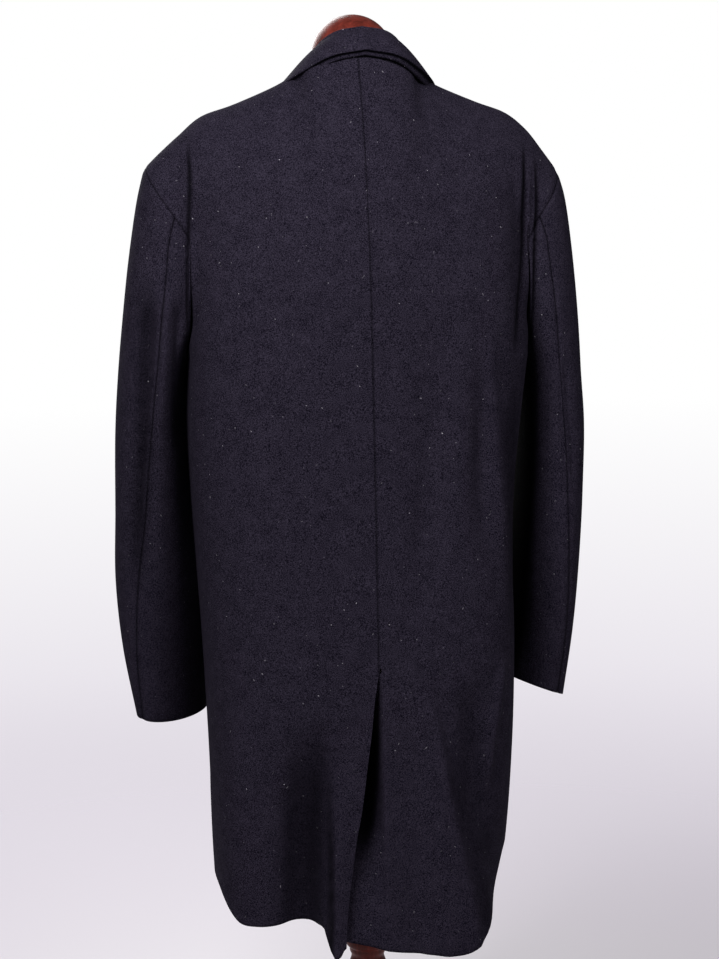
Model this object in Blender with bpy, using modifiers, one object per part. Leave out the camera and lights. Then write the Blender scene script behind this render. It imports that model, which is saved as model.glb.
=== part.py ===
"""A long wool coat hanging on a limbless dress form with a turned wooden stand.

The coat's front faces -Y, its back +Y, and the wearer's left side lies at +X.
The origin is on the floor, under the middle of the stand.
"""

import math

import bmesh
import bpy
import numpy as np

WALL = 0.003
GAP = 0.0003
SEAM_GAP = 0.0004
SLEEVE_GAP = 0.0007
ARMPIT_HEIGHT = 1.150
NECK_BACK = (0.0, 0.079, 1.488)
NECK_SIDE = (0.070, 0.012, 1.4695)
VENT_TOP = 0.775
CREASE = 0.010
TUCK = 0.003
CENTRE_HEM = 0.453
FOLD_SHIFT = 0.0006
EDGE_SHIFT = 0.0030
OVERLAP = 0.030
OVERLAP_DROP = WALL + 0.0006
SHOULDER_COLUMNS = 10
NECK_COLUMNS = 4
ARMHOLE_ROWS = 9
SLEEVE_ROWS = 18
UNDER_COLUMNS = 10
BUTTON_RADIUS = 0.0115
BUTTON_DEPTH = 0.004
BUTTON_HEIGHTS = (1.105, 0.985, 0.865)
CAP_RADIUS = 0.049
CAP_BASE = 1.500
TORSO_FOOT = 0.745
BASE_HEIGHT = 0.034
ROLL_POWER = 2.2  # how late a panel rolls over towards the shoulder seam
DEPTH_POWER = 1.7
FORE_SEAM = 260.0  # degrees round the sleeve from its outer edge
COLLAR_STEPS = 12
COLLAR_INSET = 0.0012
STAND_WALL = 0.002
STAND_DROP = 0.0036
FALL_ARCH = 0.004
LAPEL_REST = WALL + 0.0012
LAPEL_TOP = 0.74
LAPEL_FEET = {1: 0.06, -1: 0.32}
LAPEL_WIDTHS = (0.03, 0.40)
BUTTON_REST = 0.0009
VENT_STEP = 0.0048

# Outline of the coat's body, a row per height: half widths to the wearer's left and right,
# depths behind and before the stand's axis, and how square the outline's back and front are.
BODY = (
    # height, left, right, back, front, back squareness, front squareness
    (0.430, 0.182, 0.150, 0.168, 0.165, 2.7, 2.7),
    (0.550, 0.189, 0.168, 0.163, 0.162, 2.9, 2.8),
    (0.680, 0.192, 0.177, 0.159, 0.159, 3.2, 2.8),
    (0.800, 0.196, 0.180, 0.157, 0.157, 3.3, 2.8),
    (0.900, 0.201, 0.179, 0.155, 0.155, 3.4, 2.8),
    (1.000, 0.206, 0.182, 0.153, 0.152, 3.5, 2.7),
    (1.080, 0.2080, 0.190, 0.151, 0.149, 3.6, 2.6),
    (1.150, 0.2045, 0.1985, 0.149, 0.145, 3.6, 2.6),
)

# Height of the hem round each half, from the centre back (0) past the side (1) to the front (2).
HEM = (
    # place, left, right
    (0.00, 0.453, 0.453),
    (0.16, 0.474, 0.446),
    (0.35, 0.492, 0.440),
    (0.48, 0.488, 0.440),
    (0.60, 0.482, 0.456),
    (0.80, 0.488, 0.486),
    (1.00, 0.490, 0.512),
    (1.50, 0.476, 0.488),
    (2.00, 0.468, 0.468),
)

# The centre back line above the armpits.
BACK_TRACK = (
    # height, depth
    (1.150, 0.149),
    (1.260, 0.146),
    (1.360, 0.132),
    (1.430, 0.109),
    (1.488, 0.079),
)

# The shoulder seam from the neck to the sleeve head.
SHOULDER = (
    # left x, left z, right x, right z, y
    (0.070, 1.4695, 0.070, 1.4695, 0.012),
    (0.143, 1.4475, 0.143, 1.4480, 0.006),
    (0.181, 1.4340, 0.180, 1.4345, 0.003),
    (0.208, 1.4120, 0.206, 1.4150, 0.001),
    (0.229, 1.3930, 0.226, 1.3900, 0.000),
    (0.249, 1.3740, 0.244, 1.3650, 0.000),
)

# Sleeve rings from the armhole to the cuff: the outermost and innermost points seen from behind,
# the middle and half of the depth, how far the ring's back and front bow towards the body, and
# how many degrees its front turns inwards.
SLEEVES = {
    1: (
        # outer x, outer z, inner x, inner z, middle y, half depth, bow, turn
        (0.2490, 1.374, 0.2045, 1.150, 0.000, 0.078, 0.036, 0.0),
        (0.2595, 1.332, 0.2072, 1.135, 0.000, 0.079, 0.026, 0.0),
        (0.2710, 1.265, 0.2095, 1.112, 0.000, 0.079, 0.012, 0.0),
        (0.2800, 1.200, 0.2115, 1.080, -0.002, 0.078, 0.005, 2.0),
        (0.2880, 1.130, 0.2125, 1.040, -0.004, 0.077, 0.0, 4.0),
        (0.2935, 1.060, 0.2120, 0.995, -0.008, 0.076, 0.0, 6.0),
        (0.2965, 0.970, 0.2070, 0.930, -0.016, 0.075, 0.0, 9.0),
        (0.2990, 0.885, 0.2000, 0.862, -0.028, 0.073, 0.0, 13.0),
        (0.2930, 0.800, 0.1930, 0.786, -0.045, 0.070, 0.0, 19.0),
        (0.2790, 0.714, 0.1860, 0.700, -0.062, 0.066, 0.0, 25.0),
    ),
    -1: (
        (0.2440, 1.365, 0.1985, 1.150, 0.000, 0.078, 0.036, 0.0),
        (0.2530, 1.332, 0.2010, 1.135, 0.000, 0.079, 0.026, 0.0),
        (0.2610, 1.270, 0.2035, 1.112, 0.000, 0.079, 0.012, 0.0),
        (0.2670, 1.200, 0.2045, 1.080, -0.001, 0.078, 0.005, 1.0),
        (0.2705, 1.130, 0.2045, 1.040, -0.003, 0.077, 0.0, 3.0),
        (0.2745, 1.060, 0.2030, 0.995, -0.006, 0.076, 0.0, 5.0),
        (0.2725, 0.970, 0.1990, 0.930, -0.011, 0.075, 0.0, 7.0),
        (0.2690, 0.885, 0.1940, 0.866, -0.019, 0.073, 0.0, 9.0),
        (0.2630, 0.800, 0.1880, 0.802, -0.030, 0.070, 0.0, 12.0),
        (0.2540, 0.712, 0.1760, 0.738, -0.042, 0.066, 0.0, 14.0),
    ),
}

# Where the seam behind the arm runs round the sleeve, in degrees from its outer edge.
HIND_SEAM = (
    (0.0, 60.0),
    (0.1, 64.0),
    (0.2, 75.0),
    (0.32, 89.0),
    (0.45, 98.0),
    (0.6, 94.0),
    (0.78, 80.0),
    (1.0, 72.0),
)

# The vent: its left edge, and how deep the right panel's underlap lies.
VENT = (
    # height, left edge, underlap edge, depth
    (0.453, 0.045, 0.060, 0.010),
    (0.535, 0.037, 0.060, 0.020),
    (0.610, 0.025, 0.058, 0.028),
    (0.700, 0.012, 0.052, 0.024),
    (0.745, 0.005, 0.046, 0.012),
    (0.763, 0.002, 0.044, 0.008),
    (0.769, 0.0005, 0.0, 0.0052),
    (0.775, 0.0, 0.0, 0.0),
)

# The largest folds of the back, as ridges (out) and troughs (in).
FOLDS = (
    # side, top x, top z, foot x, foot z, half width, out
    (1, 0.050, 0.74, 0.060, 0.44, 0.020, 0.012),
    (1, 0.085, 0.76, 0.098, 0.44, 0.024, -0.020),
    (1, 0.170, 0.80, 0.160, 0.44, 0.030, 0.006),
    (-1, 0.064, 0.78, 0.128, 0.40, 0.022, 0.016),
    (-1, 0.020, 0.80, 0.050, 0.40, 0.024, -0.008),
    (-1, 0.135, 1.25, 0.128, 0.86, 0.018, -0.012),
    (1, 0.105, 1.30, 0.100, 1.10, 0.030, -0.005),
    (-1, 0.078, 1.20, 0.055, 0.82, 0.026, -0.006),
)

# The collar, a row per place from the centre back to the front end: its fold and its outer edge.
COLLAR = (
    # fold x, y, z, edge x, y, z
    (0.0000, 0.0630, 1.5285, 0.0000, 0.1010, 1.5015),
    (0.0280, 0.0565, 1.5255, 0.0390, 0.0930, 1.4970),
    (0.0455, 0.0390, 1.5185, 0.0700, 0.0660, 1.4840),
    (0.0535, 0.0090, 1.5070, 0.0910, 0.0240, 1.4725),
    (0.0540, -0.0240, 1.4870, 0.0970, -0.0220, 1.4600),
    (0.0520, -0.0520, 1.4600, 0.0950, -0.0640, 1.4350),
    (0.0490, -0.0760, 1.4300, 0.0840, -0.0980, 1.4040),
)

TORSO = (
    # height, half width, back, front, squareness
    (1.4980, 0.043, 0.043, 0.043, 2.0),
    (1.4780, 0.044, 0.045, 0.045, 2.0),
    (1.4620, 0.0485, 0.046, 0.034, 2.0),
    (1.4520, 0.096, 0.034, 0.008, 1.9),
    (1.4380, 0.142, 0.042, 0.022, 1.9),
    (1.4230, 0.174, 0.052, 0.036, 1.9),
    (1.4000, 0.192, 0.068, 0.062, 2.0),
    (1.3500, 0.192, 0.090, 0.088, 2.1),
    (1.2800, 0.176, 0.106, 0.102, 2.2),
    (1.1800, 0.166, 0.116, 0.118, 2.3),
    (1.0800, 0.152, 0.108, 0.112, 2.3),
    (0.9800, 0.140, 0.098, 0.104, 2.3),
    (0.8800, 0.154, 0.110, 0.106, 2.3),
    (0.7450, 0.150, 0.104, 0.098, 2.3),
)
TORSO_SEGMENTS = 32

POST = (
    # radius, height
    (0.024, 0.7447),
    (0.024, 0.470),
    (0.027, 0.452),
    (0.031, 0.440),
    (0.027, 0.428),
    (0.024, 0.422),
    (0.028, 0.404),
    (0.0285, 0.390),
    (0.024, 0.374),
    (0.031, 0.366),
    (0.033, 0.352),
    (0.031, 0.338),
    (0.022, 0.326),
    (0.021, 0.220),
    (0.027, 0.120),
    (0.036, 0.070),
    (0.048, 0.054),
    (0.052, 0.044),
    (0.050, BASE_HEIGHT + GAP),
)
BASE = (
    # radius, height
    (0.090, BASE_HEIGHT),
    (0.110, 0.032),
    (0.150, 0.027),
    (0.172, 0.025),
    (0.184, 0.019),
    (0.190, 0.012),
    (0.190, 0.004),
    (0.187, 0.000),
)
TURNED_STEPS = 32


def interpolated(rows, where, column=0):
    """Values of a table at a place along one column, by a smooth curve through its rows."""
    table = np.array(rows, float)
    if table[0, column] > table[-1, column]:
        table = table[::-1]
    keys = table[:, column]
    where = min(max(where, keys[0]), keys[-1])
    index = int(min(np.searchsorted(keys, where, side="right") - 1, len(keys) - 2))
    span = keys[index + 1] - keys[index]
    part = (where - keys[index]) / span

    def slope(at):
        before, after = max(at - 1, 0), min(at + 1, len(keys) - 1)
        return (table[after] - table[before]) / (keys[after] - keys[before])

    first, last = table[index], table[index + 1]
    return (
        (2 * part**3 - 3 * part**2 + 1) * first
        + (part**3 - 2 * part**2 + part) * span * slope(index)
        + (3 * part**2 - 2 * part**3) * last
        + (part**3 - part**2) * span * slope(index + 1)
    )


def spaced_rows(rows, part):
    """The same curve through a table's rows, by their order."""
    numbered = [(index / (len(rows) - 1), *row) for index, row in enumerate(rows)]
    return interpolated(numbered, part)[1:]


def unit(vector):
    vector = np.asarray(vector, float)
    return vector / np.maximum(np.linalg.norm(vector, axis=-1, keepdims=True), 1e-12)


def body_point(side, place, height):
    """A point of the body's outline: place 0 is the centre back, 1 the side, 2 the front."""
    _, left, right, back, front, back_square, front_square = interpolated(BODY, height)
    across = left if (side > 0) == (place >= 0) else right
    angle = place * math.pi / 2
    sine, cosine = math.sin(angle), math.cos(angle)
    deep, square = (back, back_square) if cosine > 0 else (front, front_square)
    reach = (abs(sine / across) ** square + abs(cosine / deep) ** square) ** (-1 / square)
    return np.array((side * reach * sine, reach * cosine, height))


def place_of(side, across, height, front=False):
    """The place on the outline that lies this far from the centre line."""
    low, high = (-0.4, 1.0)
    for _ in range(30):
        middle = (low + high) / 2
        at = 2 - middle if front else middle
        if side * body_point(side, at, height)[0] < across:
            low = middle
        else:
            high = middle
    return 2 - low if front else low


def armhole_point(side, angle):
    return sleeve_point(side, 0.0, angle)


def sleeve_point(side, part, angle):
    """A point of the sleeve: angle 0 is its outer edge, 90 the back, 180 the inner edge."""
    values = spaced_rows(SLEEVES[side], part)
    outer_x, outer_z, inner_x, inner_z, middle, depth, bow, yaw = values
    cosine, sine = math.cos(math.radians(angle)), math.sin(math.radians(angle))
    turned = depth * math.tan(math.radians(yaw))
    half = math.sqrt(((outer_x - inner_x) / 2) ** 2 - turned**2)
    across = (outer_x + inner_x) / 2 + half * cosine + turned * sine - bow * sine**4
    height = (outer_z + inner_z) / 2 + (outer_z - inner_z) / 2 * cosine
    return np.array((side * across, middle + depth * sine, height))


def shoulder_point(side, part):
    left_x, left_z, right_x, right_z, depth = spaced_rows(SHOULDER, part)
    if side > 0:
        return np.array((left_x, depth, left_z))
    return np.array((-right_x, depth, right_z))


def neck_point(side, part):
    """The neck seam from the centre back (0) to the side of the neck (1)."""
    angle = part * math.pi / 2
    across = NECK_SIDE[0] * math.sin(angle)
    depth = NECK_SIDE[1] + (NECK_BACK[1] - NECK_SIDE[1]) * math.cos(angle) ** 0.9
    height = NECK_SIDE[2] + (NECK_BACK[2] - NECK_SIDE[2]) * math.cos(angle)
    return np.array((side * across, depth, height))


def blended(column, row, foot, top, start, end, corners):
    """A surface between four edges: the depth keeps upright low down and rolls over at the top."""
    rolled = 1 - math.sqrt(max(1 - row**ROLL_POWER, 0))
    rise = np.array((row, rolled, row))
    foot_start, foot_end, top_start, top_end = corners
    turned = (foot[1] - foot_start[1]) / (foot_end[1] - foot_start[1])
    turned = min(max(turned, 0), 1)
    at_side_first = abs(foot_start[1]) < abs(foot_end[1])
    turned = 1 - (1 - turned) ** DEPTH_POWER if at_side_first else turned**DEPTH_POWER
    share_end = np.array((column, turned, column))
    along = (1 - rise) * foot + rise * top
    across = (1 - share_end) * start + share_end * end
    shared = (1 - share_end) * ((1 - rise) * foot_start + rise * top_start)
    shared += share_end * ((1 - rise) * foot_end + rise * top_end)
    return along + across - shared


def back_top(side, column):
    """The top edge of the back: half of the neck, then the shoulder seam."""
    split = NECK_COLUMNS / (NECK_COLUMNS + SHOULDER_COLUMNS)
    if column < 0:
        return back_top(side, -column) * (-1, 1, 1)
    if column < split:
        return neck_point(side, column / split)
    return shoulder_point(side, (column - split) / (1 - split))


def upper_back(side, column, row):
    """The back above the armpits: column 0 is the centre back, 1 the armhole."""
    height = ARMPIT_HEIGHT + (NECK_BACK[2] - ARMPIT_HEIGHT) * row
    spread = 0.16 * (1 - row) ** 0.6 * min(1, (1 - column) / 0.3)
    if column == 0:
        spread = 0.0
    top = sum(back_top(side, column + spread * step / 3) for step in range(-3, 4)) / 7
    start = np.array((0.0, interpolated(BACK_TRACK, height)[1], height))
    corners = (
        body_point(side, 0, ARMPIT_HEIGHT),
        armhole_point(side, 180),
        neck_point(side, 0),
        armhole_point(side, 0),
    )
    foot = body_point(side, column, ARMPIT_HEIGHT)
    end = armhole_point(side, 180 * (1 - row))
    return blended(column, row, foot, top, start, end, corners)


def front_edge_place(side, height):
    return place_of(side, -OVERLAP, height, front=True)


def roll_line(side, row):
    """The front edge above the armpits, from the overlap up to the side of the neck."""
    foot = body_point(side, front_edge_place(side, ARMPIT_HEIGHT), ARMPIT_HEIGHT)
    neck = neck_point(side, 1)
    rolled = 1 - math.sqrt(max(1 - row**ROLL_POWER, 0))
    return foot + (neck - foot) * (row, rolled, row)


def upper_front(side, column, row):
    """The front above the armpits: column 0 is the armhole, 1 the roll line."""
    last = front_edge_place(side, ARMPIT_HEIGHT)
    foot = body_point(side, 1 + (last - 1) * column, ARMPIT_HEIGHT)
    top = shoulder_point(side, 1 - column)
    corners = (
        armhole_point(side, 180),
        body_point(side, last, ARMPIT_HEIGHT),
        armhole_point(side, 0),
        neck_point(side, 1),
    )
    start = armhole_point(side, -180 * (1 - row))
    return blended(column, row, foot, top, start, roll_line(side, row), corners)


def hem_height(side, place):
    row = interpolated(HEM, abs(place))
    return row[1] if side > 0 else row[2]


def lower_rows():
    """Rows between hem (0) and armpits (1), with three close together at the vent's top."""
    vent = (VENT_TOP - CENTRE_HEM) / (ARMPIT_HEIGHT - CENTRE_HEM)
    step = 0.006 / (ARMPIT_HEIGHT - CENTRE_HEM)
    below = np.linspace(0, vent - 2 * step, 7)
    above = np.linspace(vent, 1, 8)
    return [*below, vent - step, *above]


def fold_depth(side, across, height):
    total = 0.0
    for at, top_x, top_z, foot_x, foot_z, width, out in FOLDS:
        if at != side:
            continue
        part = (top_z - height) / (top_z - foot_z)
        if part <= 0:
            continue
        middle = top_x + (foot_x - top_x) * part
        fade = math.sin(min(part * 1.4, 1) * math.pi / 2) ** 2
        if foot_z > 0.5:
            fade = math.sin(math.pi * min(part, 1)) ** 2
        total += out * fade * math.exp(-(((across - middle) / width) ** 2))
    return total * min(across / 0.012, 1) if across > 0 else 0.0


def back_grid(side):
    """Outer points of half of the back, a row per height from the hem to the neck and shoulder."""
    columns = NECK_COLUMNS + SHOULDER_COLUMNS
    grid = []
    for row in lower_rows():
        centre = CENTRE_HEM + (ARMPIT_HEIGHT - CENTRE_HEM) * row
        _, left_edge, under_edge, depth = interpolated(VENT, centre)
        below_vent = centre < VENT_TOP - 1e-6
        edge = 0.0
        if below_vent:
            edge = left_edge if side > 0 else -under_edge
        first = place_of(side, edge, centre)
        crease = place_of(side, CREASE, centre)
        tuck = place_of(side, TUCK, centre)
        points = []
        for column in range(columns + 1):
            place = first + (1 - first) * column / columns
            if side < 0 and below_vent:
                place = (first, tuck, crease, column / columns)[min(column, 3)]
            foot = hem_height(side, place)
            height = foot + (ARMPIT_HEIGHT - foot) * row
            point = body_point(side, place, height)
            across = side * point[0]
            out = fold_depth(side, across, height)
            if side < 0 and below_vent:
                out -= (depth, max(VENT_STEP, depth / 2), 0.0)[min(column, 2)]
            ahead = body_point(side, place + 0.01, height)
            behind = body_point(side, place - 0.01, height)
            along = unit(ahead - behind)
            normal = np.array((along[1], -along[0], 0.0)) * (-side)
            points.append(point + normal * out)
        grid.append(points)
    for row in range(1, ARMHOLE_ROWS + 1):
        part = row / ARMHOLE_ROWS
        points = []
        for column in range(columns + 1):
            point = upper_back(side, column / columns, part)
            inside = 0 < column < columns and part < 1
            out = fold_depth(side, side * point[0], point[2]) if inside else 0.0
            points.append(point + np.array((0.0, out, 0.0)))
        grid.append(points)
    return np.array(grid)


def smooth_step(value):
    value = min(max(value, 0.0), 1.0)
    return value * value * (3 - 2 * value)


def front_grid(side):
    """Outer points of a front, from the side to its edge: the right one dips under the left."""
    grid = []
    for row in lower_rows():
        last = front_edge_place(side, ARMPIT_HEIGHT)
        points = []
        for column in range(SHOULDER_COLUMNS + 1):
            place = 1 + (last - 1) * column / SHOULDER_COLUMNS
            foot = hem_height(side, min(place, 2))
            height = foot + (ARMPIT_HEIGHT - foot) * row
            points.append(body_point(side, place, height))
        grid.append(points)
    for row in range(1, ARMHOLE_ROWS + 1):
        part = row / ARMHOLE_ROWS
        columns = [column / SHOULDER_COLUMNS for column in range(SHOULDER_COLUMNS + 1)]
        grid.append([upper_front(side, column, part) for column in columns])
    grid = np.array(grid)
    if side < 0:
        for row in grid:
            for point in row:
                deeper = 0.007 * smooth_step((point[2] - 1.10) / 0.06)
                under = smooth_step((point[0] + 0.075) / 0.035)
                under *= smooth_step((1.34 - point[2]) / 0.06)
                point[1] += (OVERLAP_DROP + deeper) * under
    return grid


def sleeve_grid(side, upper):
    """Outer points of the upper or under sleeve, a row per ring from the armhole to the cuff."""
    grid = []
    for row in range(SLEEVE_ROWS + 1):
        part = row / SLEEVE_ROWS
        seam = interpolated(HIND_SEAM, part)[1]
        first, last = (FORE_SEAM - 360.0, seam) if upper else (seam, FORE_SEAM)
        columns = 2 * ARMHOLE_ROWS - UNDER_COLUMNS if upper else UNDER_COLUMNS
        angles = np.linspace(first, last, columns + 1)
        grid.append([sleeve_point(side, part, angle) for angle in angles])
    return np.array(grid)


def normals_of(grid, middles):
    """Unit normals of a grid's points, facing away from the middle of each row."""
    rows, columns = np.gradient(grid, axis=0), np.gradient(grid, axis=1)
    normals = unit(np.cross(columns, rows))
    outward = grid - np.asarray(middles)[:, None, :]
    return normals * np.sign((normals * outward).sum())


def axis_of(grid):
    """The stand's axis beside each row of a grid."""
    return grid.mean(axis=1) * (0.0, 0.0, 1.0)


def sleeve_axis(side):
    parts = np.arange(SLEEVE_ROWS + 1) / SLEEVE_ROWS
    return [(sleeve_point(side, part, 0) + sleeve_point(side, part, 180)) / 2 for part in parts]


def share(*places):
    """Gives seam points of neighbouring panels one direction for the wall, unless they face apart."""
    first = places[0][0][places[0][1]]
    near = [place for place in places if place[0][place[1]] @ first > 0.1]
    total = unit(sum(normals[index] for normals, index in near))
    for normals, index in near:
        normals[index] = total


def drawn_in(grid, amount):
    """Moves the four edges of a panel towards its inside by half of a seam's gap."""
    moved = grid.copy()
    moved[0] += amount * unit(grid[1] - grid[0])
    moved[-1] += amount * unit(grid[-2] - grid[-1])
    moved[:, 0] += amount * unit(grid[:, 1] - grid[:, 0])
    moved[:, -1] += amount * unit(grid[:, -2] - grid[:, -1])
    return moved


def material(name, colour, roughness):
    made = bpy.data.materials.new(name)
    made.use_nodes = True
    shader = made.node_tree.nodes["Principled BSDF"]
    shader.inputs["Base Color"].default_value = (*colour, 1.0)
    shader.inputs["Roughness"].default_value = roughness
    shader.inputs["Metallic"].default_value = 0.0
    return made


def add_mesh(name, mesh_source, collection, look):
    bmesh.ops.recalc_face_normals(mesh_source, faces=mesh_source.faces)
    mesh = bpy.data.meshes.new(name)
    mesh_source.to_mesh(mesh)
    mesh_source.free()
    mesh.shade_smooth()
    mesh.set_sharp_from_angle(angle=math.radians(50))
    mesh.materials.append(look)
    made = bpy.data.objects.new(name, mesh)
    collection.objects.link(made)
    return made


def add_panel(name, grid, normals, collection, look, wall=WALL):
    """A cloth panel: a grid moved to its outer points, then drawn inwards by its wall."""
    rows, columns = grid.shape[:2]
    source = bmesh.new()
    bmesh.ops.create_grid(source, x_segments=columns - 1, y_segments=rows - 1, size=0.5)
    ordered = sorted(source.verts, key=lambda vertex: (round(vertex.co.y, 4), vertex.co.x))
    walls = {}
    for index, vertex in enumerate(ordered):
        row, column = divmod(index, columns)
        vertex.co = grid[row, column]
        walls[tuple(vertex.co)] = normals[row, column]
    made = bmesh.ops.extrude_face_region(source, geom=source.faces[:], use_keep_orig=True)
    for item in made["geom"]:
        if isinstance(item, bmesh.types.BMVert):
            inward = walls[tuple(item.co)]
            item.co = np.array(item.co) - inward * wall
    return add_mesh(name, source, collection, look)


def add_turned(name, profile, collection, look):
    """A turned piece: a profile from its top down the outer side, closed on the axis."""
    source = bmesh.new()
    ends = [(0.0, profile[0][1]), *profile, (0.0, profile[-1][1])]
    vertices = [source.verts.new((radius, 0.0, height)) for radius, height in ends]
    for first, second in zip(vertices, vertices[1:]):
        source.edges.new((first, second))
    mesh = bpy.data.meshes.new(name)
    source.to_mesh(mesh)
    source.free()
    mesh.materials.append(look)
    made = bpy.data.objects.new(name, mesh)
    collection.objects.link(made)
    turn = made.modifiers.new("turn", "SCREW")
    turn.steps = turn.render_steps = TURNED_STEPS
    turn.use_merge_vertices = True
    turn.merge_threshold = 0.00005
    turn.use_smooth_shade = True
    return made


def add_torso(collection, look):
    """The form's body: rounded rings joined from the neck down and closed at both ends."""
    source = bmesh.new()
    rings = []
    for height, across, back, front, square in TORSO:
        ring = []
        for step in range(TORSO_SEGMENTS):
            angle = 2 * math.pi * step / TORSO_SEGMENTS
            sine, cosine = math.sin(angle), math.cos(angle)
            deep = back if cosine > 0 else front
            reach = (abs(sine / across) ** square + abs(cosine / deep) ** square) ** (-1 / square)
            ring.append(source.verts.new((reach * sine, reach * cosine, height)))
        rings.append(ring)
    for upper, lower in zip(rings, rings[1:]):
        for step in range(TORSO_SEGMENTS):
            after = (step + 1) % TORSO_SEGMENTS
            source.faces.new((upper[step], upper[after], lower[after], lower[step]))
    source.faces.new(rings[0])
    source.faces.new(rings[-1])
    return add_mesh("form_torso", source, collection, look)


def stand_grid():
    """The collar's stand, from its left front end round the back to the right one."""
    rows = []
    for part in np.linspace(0, 1, 4):
        row = []
        for step in range(-COLLAR_STEPS, COLLAR_STEPS + 1):
            side = 1 if step < 0 else -1
            along = abs(step) / COLLAR_STEPS
            fold = spaced_rows(COLLAR, along)[:3] * (side, 1, 1) - (FOLD_SHIFT, 0, 0)
            if along <= 0.5:
                seam = neck_point(side, along * 2)
            else:
                seam = roll_line(side, 1 - (along - 0.5) * 2 * 0.20)
            outward = unit(np.array((fold[0], fold[1], 0.0)))
            seam = seam + np.array((0.0, 0.0, COLLAR_INSET)) - outward * COLLAR_INSET
            top = fold - np.array((0.0, 0.0, STAND_DROP)) - outward * COLLAR_INSET
            row.append(seam + (top - seam) * part)
        rows.append(row)
    return np.array(rows)


def fall_grid():
    """The collar's fall, from the fold down to its outer edge."""
    rows = []
    for part in np.linspace(0, 1, 5):
        row = []
        for step in range(-COLLAR_STEPS, COLLAR_STEPS + 1):
            side = 1 if step < 0 else -1
            values = spaced_rows(COLLAR, abs(step) / COLLAR_STEPS)
            fold = values[:3] * (side, 1, 1) - (FOLD_SHIFT, 0, 0)
            edge = values[3:] * (side, 1, 1) - (EDGE_SHIFT, 0, 0)
            point = fold + (edge - fold) * part
            point[2] += FALL_ARCH * math.sin(math.pi * part)
            row.append(point)
        rows.append(row)
    return np.array(rows)


def lapel_grid(side):
    """A lapel on its front, from the roll line outwards."""
    rows = []
    start = LAPEL_FEET[side]
    for part in np.linspace(0, 1, 9):
        height = start + (LAPEL_TOP - start) * part
        width = LAPEL_WIDTHS[0] + LAPEL_WIDTHS[1] * math.sin(part * math.pi / 2) ** 1.3
        row = []
        for across in np.linspace(0, 1, 6):
            column = 1 - width * across - 0.004
            dip = 0.06 * across * part
            row.append(upper_front(side, column, height - dip))
        rows.append(row)
    return np.array(rows)


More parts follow.
